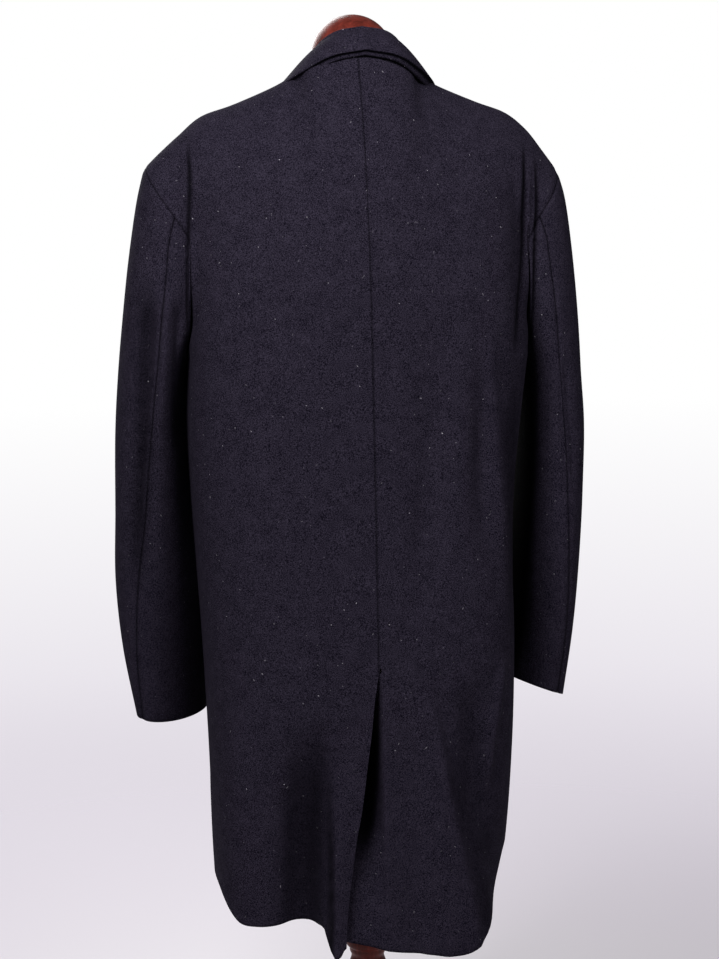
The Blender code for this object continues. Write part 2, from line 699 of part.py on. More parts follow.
def build():
    for old in list(bpy.data.objects):
        bpy.data.objects.remove(old, do_unlink=True)
    collection = bpy.data.collections.new("wool_coat_on_dress_form")
    bpy.context.scene.collection.children.link(collection)
    wool = material("dark_navy_wool", (0.018, 0.017, 0.026), 0.9)
    horn = material("black_button", (0.015, 0.013, 0.014), 0.35)
    jersey = material("cream_jersey", (0.66, 0.61, 0.52), 0.9)
    wood = material("red_brown_wood", (0.16, 0.05, 0.025), 0.3)

    backs = {side: back_grid(side) for side in (1, -1)}
    fronts = {side: front_grid(side) for side in (1, -1)}
    uppers = {side: sleeve_grid(side, True) for side in (1, -1)}
    unders = {side: sleeve_grid(side, False) for side in (1, -1)}
    back_out = {side: normals_of(backs[side], axis_of(backs[side])) for side in (1, -1)}
    front_out = {side: normals_of(fronts[side], axis_of(fronts[side])) for side in (1, -1)}
    upper_out = {side: normals_of(uppers[side], sleeve_axis(side)) for side in (1, -1)}
    under_out = {side: normals_of(unders[side], sleeve_axis(side)) for side in (1, -1)}

    below = len(lower_rows())
    vent_row = below - 8
    last = below + ARMHOLE_ROWS - 1
    for row in range(vent_row, last + 1):
        share((back_out[1], (row, 0)), (back_out[-1], (row, 0)))
    for side in (1, -1):
        for row in range(below - 1):
            share((back_out[side], (row, -1)), (front_out[side], (row, 0)))
        for column in range(SHOULDER_COLUMNS):
            share(
                (back_out[side], (-1, NECK_COLUMNS + column)),
                (front_out[side], (-1, SHOULDER_COLUMNS - column)),
            )
        for row in range(SLEEVE_ROWS + 1):
            for there, here in ((0, -1), (-1, 0)):
                share((upper_out[side], (row, there)), (under_out[side], (row, here)))
        loop = {}
        for index in range(2 * ARMHOLE_ROWS - UNDER_COLUMNS + 1):
            angle = round(-100 + 20 * index) % 360
            loop.setdefault(angle, []).append((upper_out[side], (0, index)))
        for index in range(UNDER_COLUMNS + 1):
            angle = round(HIND_SEAM[0][1] + 20 * index) % 360
            loop.setdefault(angle, []).append((under_out[side], (0, index)))
        for row in range(ARMHOLE_ROWS + 1):
            turn = round(180 * (1 - row / ARMHOLE_ROWS))
            loop[turn].append((back_out[side], (below - 1 + row, -1)))
            loop[-turn % 360].append((front_out[side], (below - 1 + row, 0)))
        for places in loop.values():
            share(*places)

    for side, word in ((1, "left"), (-1, "right")):
        for name, grid, out in (
            (f"back_{word}", backs[side], back_out[side]),
            (f"front_{word}", fronts[side], front_out[side]),
            (f"sleeve_upper_{word}", uppers[side], upper_out[side]),
            (f"sleeve_under_{word}", unders[side], under_out[side]),
        ):
            gap = SLEEVE_GAP if name.startswith("sleeve") else SEAM_GAP
            add_panel(name, drawn_in(grid, gap / 2), out, collection, wool)
        lapel = lapel_grid(side)
        lapel_out = normals_of(lapel, axis_of(lapel))
        lifted = lapel + lapel_out * LAPEL_REST
        add_panel(f"lapel_{word}", lifted, lapel_out, collection, wool)

    stand = stand_grid()
    add_panel("collar_stand", stand, normals_of(stand, axis_of(stand)), collection, wool, STAND_WALL)
    fall = fall_grid()
    add_panel("collar_fall", fall, normals_of(fall, axis_of(fall)), collection, wool)

    for index, height in enumerate(BUTTON_HEIGHTS):
        face = body_point(1, 2, height)
        source = bmesh.new()
        bmesh.ops.create_cone(
            source,
            cap_ends=True,
            segments=20,
            radius1=BUTTON_RADIUS,
            radius2=BUTTON_RADIUS * 0.9,
            depth=BUTTON_DEPTH,
        )
        button = add_mesh(f"button_{index + 1}", source, collection, horn)
        button.rotation_euler = (math.radians(90), 0.0, 0.0)
        button.location = (0.0, face[1] - BUTTON_DEPTH / 2 - BUTTON_REST, height)

    add_torso(collection, jersey)
    cap_profile = []
    for angle in range(12, 91, 13):
        turned = math.radians(angle)
        radius, height = CAP_RADIUS * math.sin(turned), CAP_RADIUS * math.cos(turned)
        cap_profile.append((radius, CAP_BASE + height))
    cap_profile.append((CAP_RADIUS, CAP_BASE - 0.0010))
    cap_profile.append((CAP_RADIUS - 0.0040, TORSO[0][0] + GAP))
    add_turned("neck_cap", cap_profile, collection, wood)
    add_turned("stand_post", POST, collection, wood)
    add_turned("stand_base", BASE, collection, wood)


build()
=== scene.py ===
import math

import bmesh
import bpy
import numpy as np
from mathutils import Matrix, Vector


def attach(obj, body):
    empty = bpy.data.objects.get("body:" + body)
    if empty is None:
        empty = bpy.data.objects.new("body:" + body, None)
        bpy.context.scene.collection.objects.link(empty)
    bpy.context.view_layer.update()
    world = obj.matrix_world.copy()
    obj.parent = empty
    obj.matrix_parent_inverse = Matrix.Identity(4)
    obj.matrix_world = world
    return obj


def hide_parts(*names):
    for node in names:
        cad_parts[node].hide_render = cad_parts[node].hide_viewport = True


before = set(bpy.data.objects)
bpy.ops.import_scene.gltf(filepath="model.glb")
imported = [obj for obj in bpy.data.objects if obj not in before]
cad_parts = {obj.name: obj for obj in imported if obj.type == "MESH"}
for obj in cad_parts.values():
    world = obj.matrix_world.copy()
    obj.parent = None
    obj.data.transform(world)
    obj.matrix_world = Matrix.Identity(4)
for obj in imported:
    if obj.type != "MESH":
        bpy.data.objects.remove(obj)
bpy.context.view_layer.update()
print("frame loaded")


def curveAt(rows, where):  # values of a table at places along its first column, on a smooth curve
    table = np.array(rows, float)
    if table[0, 0] > table[-1, 0]:
        table = table[::-1]
    keys = table[:, 0]
    where = np.clip(where, keys[0], keys[-1])
    index = np.clip(np.searchsorted(keys, where, side="right") - 1, 0, len(keys) - 2)
    slopes = np.empty_like(table)
    slopes[1:-1] = (table[2:] - table[:-2]) / (keys[2:] - keys[:-2])[:, None]
    slopes[0] = (table[1] - table[0]) / (keys[1] - keys[0])
    slopes[-1] = (table[-1] - table[-2]) / (keys[-1] - keys[-2])
    span = (keys[index + 1] - keys[index])[..., None]
    part = ((where - keys[index])[..., None]) / span
    return (
        (2 * part**3 - 3 * part**2 + 1) * table[index]
        + (part**3 - 2 * part**2 + part) * span * slopes[index]
        + (3 * part**2 - 2 * part**3) * table[index + 1]
        + (part**3 - part**2) * span * slopes[index + 1]
    )


def orderedAt(rows, part):  # the same, by the rows' order
    numbered = [(index / (len(rows) - 1), *row) for index, row in enumerate(rows)]
    return curveAt(numbered, part)[..., 1:]


def together(*values):
    return np.stack(np.broadcast_arrays(*values), axis=-1)


def unit(vectors):
    return vectors / np.maximum(np.linalg.norm(vectors, axis=-1, keepdims=True), 1e-12)


def smooth(values, low=0.0, high=1.0):
    values = np.clip((values - low) / (high - low), 0, 1)
    return values * values * (3 - 2 * values)


# the coat's body, a row per height: half widths to the wearer's left and right, depths behind
# and before the stand, and how square the outline's back and front are
bodyCut = {
    "rings": (
        # height, left, right, back, front, back squareness, front squareness
        (0.43, 0.182, 0.15, 0.168, 0.165, 2.7, 2.7),
        (0.55, 0.189, 0.168, 0.163, 0.162, 2.9, 2.8),
        (0.68, 0.192, 0.177, 0.159, 0.159, 3.2, 2.8),
        (0.8, 0.196, 0.18, 0.157, 0.157, 3.3, 2.8),
        (0.9, 0.201, 0.179, 0.155, 0.155, 3.4, 2.8),
        (1.0, 0.206, 0.182, 0.153, 0.152, 3.5, 2.7),
        (1.08, 0.208, 0.19, 0.151, 0.149, 3.6, 2.6),
        (1.15, 0.2045, 0.1985, 0.149, 0.145, 3.6, 2.6),
    ),
    "hem": (
        # place from the centre back (0) past the side (1) to the front (2), left, right
        (0.0, 0.47, 0.459),
        (0.16, 0.47, 0.45),
        (0.185, 0.466, 0.448),
        (0.2, 0.459, 0.447),
        (0.225, 0.457, 0.446),
        (0.245, 0.468, 0.445),
        (0.262, 0.484, 0.444),
        (0.3, 0.487, 0.442),
        (0.385, 0.488, 0.443),
        (0.44, 0.487, 0.454),
        (0.485, 0.486, 0.474),
        (0.53, 0.485, 0.497),
        (0.6, 0.486, 0.527),
        (0.65, 0.495, 0.548),
        (0.72, 0.508, 0.556),
        (0.8, 0.518, 0.556),
        (1.0, 0.522, 0.548),
        (1.5, 0.485, 0.5),
        (2.0, 0.468, 0.468),
    ),
    "backTrack": (
        # height, depth of the centre back above the armpits
        (1.15, 0.149),
        (1.26, 0.146),
        (1.36, 0.132),
        (1.43, 0.109),
        (1.5, 0.079),
    ),
    "foot": 0.453,  # the height at which the rows of points start, before the hem bends them
    "armpit": 1.150,
    "neckBack": (0.0, 0.079, 1.500),
    "neckSide": (0.066, 0.020, 1.4860),
    "rollPower": 2.2,
    "depthPower": 1.7,
    "overlap": 0.030,
    "overlapDrop": (0.0036, 0.0070),  # how far the right front lies under the left, low and high
    "wall": 0.0028,
    "step": 0.0038,
    "fineStep": 0.0020,  # between points where the creases of the armholes are
}


def bodyPoint(side, place, height):  # place 0 is the centre back, 1 the side, 2 the centre front
    place, height = np.broadcast_arrays(np.asarray(place, float), np.asarray(height, float))
    ring = curveAt(bodyCut["rings"], height)
    own, other = (1, 2) if side > 0 else (2, 1)
    across = np.where(place >= 0, ring[..., own], ring[..., other])
    sine, cosine = np.sin(place * math.pi / 2), np.cos(place * math.pi / 2)
    deep = np.where(cosine > 0, ring[..., 3], ring[..., 4])
    square = np.where(cosine > 0, ring[..., 5], ring[..., 6])
    reach = (abs(sine / across) ** square + abs(cosine / deep) ** square) ** (-1 / square)
    return together(side * reach * sine, reach * cosine, height)


def placeOf(side, across, height, front=False):  # the place that lies this far from the middle
    across, height = np.broadcast_arrays(np.asarray(across, float), np.asarray(height, float))
    low, high = np.full(across.shape, -0.4), np.full(across.shape, 1.0)
    for _ in range(26):
        middle = (low + high) / 2
        at = 2 - middle if front else middle
        less = side * bodyPoint(side, at, height)[..., 0] < across
        low, high = np.where(less, middle, low), np.where(less, high, middle)
    return 2 - low if front else low


# sleeve rings from the armhole to the cuff: the outermost and innermost points seen from behind,
# the middle and half of the depth, the bow towards the body and the front's inward turn
sleeveCut = {
    1: (
        # outer x, outer z, inner x, inner z, middle y, half depth, bow, turn
        (0.249, 1.374, 0.2045, 1.15, 0.0, 0.078, 0.036, 0.0),
        (0.2595, 1.332, 0.2072, 1.135, 0.0, 0.079, 0.026, 0.0),
        (0.271, 1.265, 0.2095, 1.112, 0.0, 0.079, 0.012, 0.0),
        (0.28, 1.2, 0.2115, 1.08, -0.002, 0.078, 0.005, 2.0),
        (0.288, 1.13, 0.2125, 1.04, -0.004, 0.077, 0.0, 4.0),
        (0.2935, 1.06, 0.212, 0.995, -0.008, 0.076, 0.0, 6.0),
        (0.2965, 0.97, 0.207, 0.93, -0.016, 0.075, 0.0, 9.0),
        (0.299, 0.885, 0.2, 0.862, -0.028, 0.073, 0.0, 13.0),
        (0.293, 0.8, 0.193, 0.786, -0.045, 0.07, 0.0, 19.0),
        (0.279, 0.714, 0.186, 0.7, -0.062, 0.066, 0.0, 25.0),
    ),
    -1: (
        (0.244, 1.365, 0.1985, 1.15, 0.0, 0.078, 0.036, 0.0),
        (0.253, 1.332, 0.201, 1.135, 0.0, 0.079, 0.026, 0.0),
        (0.261, 1.27, 0.2035, 1.112, 0.0, 0.079, 0.012, 0.0),
        (0.267, 1.2, 0.2045, 1.08, -0.001, 0.078, 0.005, 1.0),
        (0.2705, 1.13, 0.2045, 1.04, -0.003, 0.077, 0.0, 3.0),
        (0.2745, 1.06, 0.203, 0.995, -0.006, 0.076, 0.0, 5.0),
        (0.2725, 0.97, 0.199, 0.93, -0.011, 0.075, 0.0, 7.0),
        (0.269, 0.885, 0.194, 0.866, -0.019, 0.073, 0.0, 9.0),
        (0.263, 0.8, 0.188, 0.802, -0.03, 0.07, 0.0, 12.0),
        (0.254, 0.712, 0.176, 0.738, -0.042, 0.066, 0.0, 14.0),
    ),
}
sleeveLook = {
    "lean": {1: 0.017, -1: 0.006},  # how far the front half leans on the body
    "leanAt": (222.0, 34.0),  # the middle and half width of that lean, in degrees round the sleeve
    "shade": {1: 0.30, -1: 0.95},  # painted shade on the side towards the body, how dark
    "shadeFrom": (136.0, 160.0),
    "shadeTo": (240.0, 262.0),
    "inset": 0.0030,  # how far the armhole's bow may pass the innermost point
    "blend": 0.004,
    # part of the sleeve's length, degrees round it
    "hindSeam": (
        (0.0, 60.0), (0.1, 64.0), (0.2, 75.0), (0.32, 89.0),
        (0.45, 98.0), (0.6, 94.0), (0.78, 80.0), (1.0, 72.0),
    ),
    "foreSeam": 260.0,
}


def raised(values, floor, blend):  # values eased into a floor that they don't pass
    short = floor - values
    eased = (short + blend) ** 2 / (4 * blend)
    return values + np.where(short >= blend, short, np.where(short > -blend, eased, 0))


def sleevePoint(side, part, angle):  # angle 0 is the outer edge, 90 the back, 180 the inner edge
    rows = orderedAt(sleeveCut[side], np.asarray(part, float))
    outerX, outerZ, innerX, innerZ, middle, depth, bow, yaw = np.moveaxis(rows, -1, 0)
    cosine, sine = np.cos(np.radians(angle)), np.sin(np.radians(angle))
    turned = depth * np.tan(np.radians(yaw))
    half = np.sqrt(((outerX - innerX) / 2) ** 2 - turned**2)
    across = (outerX + innerX) / 2 + half * cosine + turned * sine - bow * sine**4
    floored = raised(across, innerX - sleeveLook["inset"], sleeveLook["blend"])
    across = np.where(bow > 0, floored, across)
    height = (outerZ + innerZ) / 2 + (outerZ - innerZ) / 2 * cosine
    return together(side * across, middle + depth * sine, height)


shoulderCut = (
    # left x, left z, right x, right z, y
    (0.066, 1.486, 0.066, 1.486, 0.02),
    (0.092, 1.469, 0.092, 1.469, 0.014),
    (0.143, 1.4475, 0.143, 1.448, 0.006),
    (0.181, 1.434, 0.18, 1.4345, 0.003),
    (0.208, 1.412, 0.206, 1.415, 0.001),
    (0.229, 1.393, 0.226, 1.39, 0.0),
    (0.249, 1.374, 0.244, 1.365, 0.0),
)


def shoulderPoint(side, part):
    rows = orderedAt(shoulderCut, np.clip(part, 0, 1))
    across, height = (rows[..., 0], rows[..., 1]) if side > 0 else (-rows[..., 2], rows[..., 3])
    return together(across, rows[..., 4], height)


def neckPoint(side, part):  # the neck seam from the centre back (0) to the side of the neck (1)
    angle = np.clip(part, 0, 1) * math.pi / 2
    back, flank = bodyCut["neckBack"], bodyCut["neckSide"]
    cosine = np.maximum(np.cos(angle), 0)
    depth = flank[1] + (back[1] - flank[1]) * cosine**0.9
    return together(side * flank[0] * np.sin(angle), depth, flank[2] + (back[2] - flank[2]) * cosine)


def rolled(row):  # how fast the front and back lean in towards the shoulders
    return 1 - np.sqrt(np.maximum(1 - row ** bodyCut["rollPower"], 0))


def blended(column, row, foot, top, start, end, corners):  # a surface between four edges
    rise = together(row, rolled(row), row)
    footStart, footEnd, topStart, topEnd = corners
    turned = np.clip((foot[..., 1] - footStart[1]) / (footEnd[1] - footStart[1]), 0, 1)
    power = bodyCut["depthPower"]
    sideFirst = abs(footStart[1]) < abs(footEnd[1])
    turned = 1 - (1 - turned) ** power if sideFirst else turned**power
    share = together(column, turned, column)
    along = (1 - rise) * foot + rise * top
    across = (1 - share) * start + share * end
    shared = (1 - share) * ((1 - rise) * footStart + rise * topStart)
    shared = shared + share * ((1 - rise) * footEnd + rise * topEnd)
    return along + across - shared


neckShare = 4 / 14  # how much of the back's top edge is neck


def backTop(side, column):
    mirrored = column < 0
    column = abs(column)
    neck = neckPoint(side, column / neckShare)
    seam = shoulderPoint(side, (column - neckShare) / (1 - neckShare))
    found = np.where((column < neckShare)[..., None], neck, seam)
    return np.where(mirrored[..., None], found * (-1, 1, 1), found)


def upperBack(side, column, row):  # column 0 is the centre back, 1 the armhole; row 0 the armpit
    armpit, neck = bodyCut["armpit"], bodyCut["neckBack"][2]
    height = armpit + (neck - armpit) * row
    spread = 0.16 * (1 - row) ** 0.6 * np.minimum(1, (1 - column) / 0.3) * (column > 0)
    top = sum(backTop(side, column + spread * step / 3) for step in range(-3, 4)) / 7
    start = together(0.0, curveAt(bodyCut["backTrack"], height)[..., 1], height)
    corners = (
        bodyPoint(side, 0, armpit),
        sleevePoint(side, 0, 180),
        neckPoint(side, 0),
        sleevePoint(side, 0, 0),
    )
    foot = bodyPoint(side, column, armpit)
    end = sleevePoint(side, 0, 180 * (1 - row))
    return blended(column, row, foot, top, start, end, corners)


def frontEdge(side, height):
    return placeOf(side, -bodyCut["overlap"], height, front=True)


def rollLine(side, row):  # the front edge above the armpits, up to the side of the neck
    armpit = bodyCut["armpit"]
    foot = bodyPoint(side, frontEdge(side, armpit), armpit)
    return foot + (neckPoint(side, 1) - foot) * together(row, rolled(row), row)


def upperFront(side, column, row):  # column 0 is the armhole, 1 the roll line
    armpit = bodyCut["armpit"]
    last = frontEdge(side, armpit)
    corners = (
        sleevePoint(side, 0, 180),
        bodyPoint(side, last, armpit),
        sleevePoint(side, 0, 0),
        neckPoint(side, 1),
    )
    foot = bodyPoint(side, 1 + (last - 1) * column, armpit)
    top = shoulderPoint(side, 1 - column)
    start = sleevePoint(side, 0, -180 * (1 - row))
    return blended(column, row, foot, top, start, rollLine(side, row), corners)


ventCut = {
    "top": 0.795,
    "rows": (
        # height, left edge, underlap edge, depth
        (0.453, 0.047, 0.064, 0.006),
        (0.5, 0.044, 0.064, 0.007),
        (0.541, 0.038, 0.064, 0.012),
        (0.58, 0.032, 0.062, 0.022),
        (0.614, 0.025, 0.058, 0.038),
        (0.663, 0.018, 0.052, 0.052),
        (0.706, 0.012, 0.046, 0.048),
        (0.75, 0.007, 0.04, 0.034),
        (0.776, 0.003, 0.036, 0.014),
        (0.788, 0.0005, 0.0, 0.0052),
        (0.795, 0.0, 0.0, 0.0),
    ),
    # painted shade in the vent's recess: the sinking over which it grows, and how dark it gets
    "shade": {"depth": (0.005, 0.026), "deep": 0.96},
    "underHem": (0.459, 0.067),
    "crease": 0.0025,
    "turn": 0.0050,
    "lap": 0.010,
    "underColumns": 26,
}


def hemHeight(side, place):
    found = curveAt(bodyCut["hem"], abs(place))[..., 1 if side > 0 else 2]
    start, rise = ventCut["underHem"]
    return np.where(np.asarray(place) < 0, start - rise * place, found)


# the largest folds of the back, as ridges (out) and troughs (in), the same as the solids have
largeFolds = (
    # side, top x, top z, foot x, foot z, half width, out
    (1, 0.05, 0.74, 0.06, 0.44, 0.02, 0.012),
    (1, 0.085, 0.76, 0.098, 0.44, 0.024, -0.02),
    (1, 0.17, 0.8, 0.16, 0.44, 0.03, 0.006),
    (-1, 0.064, 0.78, 0.128, 0.4, 0.022, 0.016),
    (-1, 0.02, 0.8, 0.05, 0.4, 0.024, -0.008),
    (-1, 0.135, 1.25, 0.128, 0.86, 0.018, -0.012),
    (1, 0.105, 1.3, 0.1, 1.1, 0.03, -0.005),
    (-1, 0.078, 1.2, 0.055, 0.82, 0.026, -0.006),
)


def foldDepth(side, across, height):  # how far the large folds lift (+) or sink (-) the back
    total = np.zeros(np.broadcast(across, height).shape)
    for at, topX, topZ, footX, footZ, width, out in largeFolds:
        if at != side:
            continue
        part = (topZ - height) / (topZ - footZ)
        middle = topX + (footX - topX) * part
        short = np.sin(math.pi * np.clip(part, 0, 1)) ** 2
        long = np.sin(np.clip(part * 1.4, 0, 1) * math.pi / 2) ** 2
        fade = np.where(part > 0, short if footZ > 0.5 else long, 0)
        total = total + out * fade * np.exp(-(((across - middle) / width) ** 2))
    return total * np.clip(across / 0.012, 0, 1)


def creaseDepth(points, table):  # how far each crease lifts (+) or sinks (-) the points
    flat = points[..., [0, 2]]
    total = np.zeros(points.shape[:-1])
    for width, out, (opening, closing), path in table:
        path = np.array(path, float)
        lines = np.diff(path, axis=0)
        lengths = np.linalg.norm(lines, axis=1)
        best = np.full(total.shape, 1e9)
        where = np.zeros(total.shape)
        done = 0.0
        for first, line, length in zip(path, lines / lengths[:, None], lengths):
            along = np.clip((flat - first) @ line, 0, length)
            gap = np.linalg.norm(flat - (first + along[..., None] * line), axis=-1)
            nearer = gap < best
            best = np.where(nearer, gap, best)
            where = np.where(nearer, (done + along) / lengths.sum(), where)
            done += length
        fade = smooth(where, 0, max(opening, 1e-6)) * smooth(1 - where, 0, max(closing, 1e-6))
        total += out * fade * np.exp(-((best / width) ** 2))
    return total


def acrossOf(flat, path):  # how far each point lies beside a path, and the heights of its foot and top
    path = np.array(path, float)
    order = np.argsort(path[:, 1])
    line = curveAt(path[order][:, ::-1], flat[..., 1])[..., 1]
    return flat[..., 0] - line, path[:, 1].min(), path[:, 1].max()


def fadeOf(height, low, high, fades):
    return smooth(height, low, low + fades[0]) * smooth(-height, -high, -high + fades[1])


def drapeDepth(points, table):  # creases with one high and one low side, pushed along -Y
    flat = points[..., [0, 2]]
    total = np.zeros(points.shape[:-1])
    for lowSide, edge, recover, deep, swell, fades, path in table:
        beside, low, high = acrossOf(flat, path)
        signed = beside * lowSide
        step = smooth(signed, -edge, edge) * np.exp(-np.maximum(signed, 0) / recover)
        crest = swell * np.exp(-(((signed + edge * 2.2) / (edge * 2.2)) ** 2))
        total += fadeOf(flat[..., 1], low, high, fades) * (deep * step - crest)
    return total * smooth(points[..., 1], 0.0, 0.04)


sewn, plain = (0.0014, 0.0040), (0.0, 1.0)  # depth and width of the valley beside an edge
seamLook = {"shadeStrength": 0.66, "width": 0.0015, "held": 0.012}  # the first two give the strength and width of the painted shade along a seam; no crease within the held width of a seam


def seamDips(points, edges):  # a shallow valley beside each sewn edge, and painted shade along it: foot, top, start, end
    rows, columns = points.shape[:2]
    along = np.linalg.norm(np.diff(points, axis=0), axis=-1).cumsum(axis=0)
    along = np.concatenate([np.zeros((1, columns)), along])
    across = np.linalg.norm(np.diff(points, axis=1), axis=-1).cumsum(axis=1)
    across = np.concatenate([np.zeros((rows, 1)), across], axis=1)
    fromEdge = (along, along[-1:] - along, across, across[:, -1:] - across)
    total = np.zeros((rows, columns))
    clear, held = total + 1, total + 1
    for lengths, (depth, width) in zip(fromEdge, edges):
        if depth:
            total -= depth * np.exp(-((lengths / width) ** 2))
            held *= smooth(lengths, 0.0, seamLook["held"])
            clear *= 1 - seamLook["shadeStrength"] * np.exp(-((lengths / seamLook["width"]) ** 2))
    return total, 1 - clear, held, across, along


def outwardOf(points, middles):  # the surface's normals, away from the middle of each row
    rows, columns = np.gradient(points, axis=0), np.gradient(points, axis=1)
    normals = unit(np.cross(columns, rows))
    return normals * np.sign((normals * (points - middles)).sum())


def shadeAlongLines(points, table):  # painted shade along each line, 0 to 1, darker where the cloth is shut more tightly
    flat = points[..., [0, 2]]
    clear = np.ones(points.shape[:-1])
    for width, shadeStrength, fades, path in table:
        beside, low, high = acrossOf(flat, path)
        fade = fadeOf(flat[..., 1], low, high, fades) * (points[..., 1] > 0)
        clear = clear * (1 - shadeStrength * fade * np.exp(-((beside / width) ** 2)))
    return 1 - clear


def addMesh(name, source, look, rounded=True):  # makes an object of what a bmesh holds
    mesh = bpy.data.meshes.new(name)
    source.to_mesh(mesh)
    source.free()
    if rounded:
        mesh.shade_smooth()
    mesh.materials.append(look)
    piece = bpy.data.objects.new(name, mesh)
    bpy.context.scene.collection.objects.link(piece)
    return piece


def addCloth(name, points, middles, edges, thickness, folds=((), (), ()), shaded=0.0):
    creases, drapes, shadeLines = folds
    normals = outwardOf(points, middles)
    dips, shadeAmount, held, across, along = seamDips(points, edges)
    depth = dips + creaseDepth(points, creases) * held
    points = points + normals * depth[..., None]
    points[..., 1] -= drapeDepth(points, drapes)
    rows, columns = points.shape[:2]
    source = bmesh.new()
    # each point keeps its painted shade in a layer that the wool's colour reads
    shadeStrength = source.verts.layers.float.new("painted_shade")
    bmesh.ops.create_grid(source, x_segments=columns - 1, y_segments=rows - 1, size=0.5)
    ordered = sorted(source.verts, key=lambda vertex: (round(vertex.co.y, 5), vertex.co.x))
    layer = source.loops.layers.uv.new("cut")
    # painted shade from the seams, the shade lines and the piece's own painted shade
    shadeAmount = 1 - (1 - shadeAmount) * (1 - shadeAlongLines(points, shadeLines)) * (1 - shaded)
    spots = {}
    for index, vertex in enumerate(ordered):
        row, column = divmod(index, columns)
        vertex.co = points[row, column]
        vertex[shadeStrength] = shadeAmount[row, column]
        spots[vertex] = (across[row, column], along[row, column])
    for face in source.faces:
        for loop in face.loops:
            loop[layer].uv = spots[loop.vert]
    # the grid's faces look along the rows' cross product, so they turn where that points inwards
    row, column = rows // 2, columns // 2
    corner, ahead, beside = points[row, column], points[row + 1, column], points[row, column + 1]
    if np.cross(beside - corner, ahead - corner) @ normals[row, column] < 0:
        bmesh.ops.reverse_faces(source, faces=source.faces[:])
    piece = addMesh(name, source, wool)
    shell = piece.modifiers.new("wall", "SOLIDIFY")
    shell.thickness = thickness
    shell.offset = -1.0
    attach(piece, "root")
    return piece


def steps(length, size):  # how many steps of about this size fill a length
    return max(int(math.ceil(length / size)), 2)


def backPanel(side):
    step = bodyCut["step"]
    armpit, hem = bodyCut["armpit"], bodyCut["foot"]
    top = ventCut["top"]
    low = np.linspace(hem, top - 0.018, steps(0.31, step))
    near = top - np.array([0.012, 0.009, 0.006, 0.003, 0.0])  # closer rows where the vent ends
    high = np.linspace(top + 0.004, armpit, steps(0.365, step))
    centre = np.concatenate([low, near, high])
    edge, under, deep = (curveAt(ventCut["rows"], centre)[..., column] for column in (1, 2, 3))
    opened = centre < top - 1e-6
    inner = np.linspace(0, 1, ventCut["underColumns"] + 1)
    coarse = np.linspace(0, 0.62, steps(0.14, step) + 1)
    fine = np.linspace(0.62, 1, steps(0.10, bodyCut["fineStep"]) + 1)
    outer = np.concatenate([coarse[1:], fine[1:]])
    limit = ventCut["crease"]
    if side > 0:
        first = np.where(opened, edge, 0.0)
        lip = placeOf(side, first + ventCut["lap"], centre)
    else:
        first = np.where(opened, -under, 0.0)
        lip = placeOf(side, limit, centre)
    first = placeOf(side, first, centre)
    places = np.concatenate([
        first[:, None] + (lip - first)[:, None] * inner,
        lip[:, None] + (1 - lip)[:, None] * outer,
    ], axis=1)
    share = ((centre - hem) / (armpit - hem))[:, None]
    foot = hemHeight(side, places)
    height = foot + (armpit - foot) * share
    lower = bodyPoint(side, places, height)
    across = side * lower[..., 0]
    lift, shadeMask = foldDepth(side, across, height), 0 * across
    if side < 0:
        sunk = smooth(across, limit, limit - ventCut["turn"])
        sunk = sunk * (0.35 + 0.65 * smooth(across, limit - 0.002, limit - 0.022))
        sunk = np.where(opened, deep, 0.0)[:, None] * sunk
        lift = lift - sunk
        # painted shade in the vent's recess, growing as the underlap sinks deeper
        shadeMask = smooth(sunk, *ventCut["shade"]["depth"]) * ventCut["shade"]["deep"]
    upperRows = steps(0.42, step)
    row = (np.arange(1, upperRows + 1) / upperRows)[:, None]
    upper = upperBack(side, np.repeat(places[-1:], upperRows, axis=0), row)
    upperLift = foldDepth(side, side * upper[..., 0], upper[..., 2]) * smooth(1 - row, 0, 0.12)
    upper = upper + together(0.0, upperLift, 0.0)
    ahead, behind = bodyPoint(side, places + 0.01, height), bodyPoint(side, places - 0.01, height)
    along = unit(ahead - behind)
    normal = together(along[..., 1], -along[..., 0], 0.0) * (-side)
    lower = lower + normal * (lift * smooth(1 - places, 0.0, 0.12))[..., None]
    return np.concatenate([lower, upper]), np.concatenate([shadeMask, np.zeros(upper.shape[:-1])])


def frontPanel(side):
    step = bodyCut["step"]
    armpit, hem = bodyCut["armpit"], bodyCut["foot"]
    last = frontEdge(side, armpit)
    centre = np.linspace(hem, armpit, steps(0.697, step))
    column = np.linspace(0, 1, steps(0.27, step) + 1)
    places = 1 + (last - 1) * column[None, :]
    foot = hemHeight(side, np.minimum(places, 2))
    share = ((centre - hem) / (armpit - hem))[:, None]
    lower = bodyPoint(side, places, foot + (armpit - foot) * share)
    upperRows = steps(0.42, step)
    row = (np.arange(1, upperRows + 1) / upperRows)[:, None]
    upper = upperFront(side, column[None, :] + 0 * row, row + 0 * column[None, :])
    points = np.concatenate([lower, upper])
    if side < 0:
        low, high = bodyCut["overlapDrop"]
        deeper = high * smooth(points[..., 2], 1.10, 1.16)
        under = smooth(points[..., 0], -0.075, -0.040) * smooth(-points[..., 2], -1.34, -1.28)
        points[..., 1] += (low + deeper) * under
    return points


def axisOf(points):  # the stand's axis at the height of each row
    return points.mean(axis=1, keepdims=True) * (0.0, 0.0, 1.0)


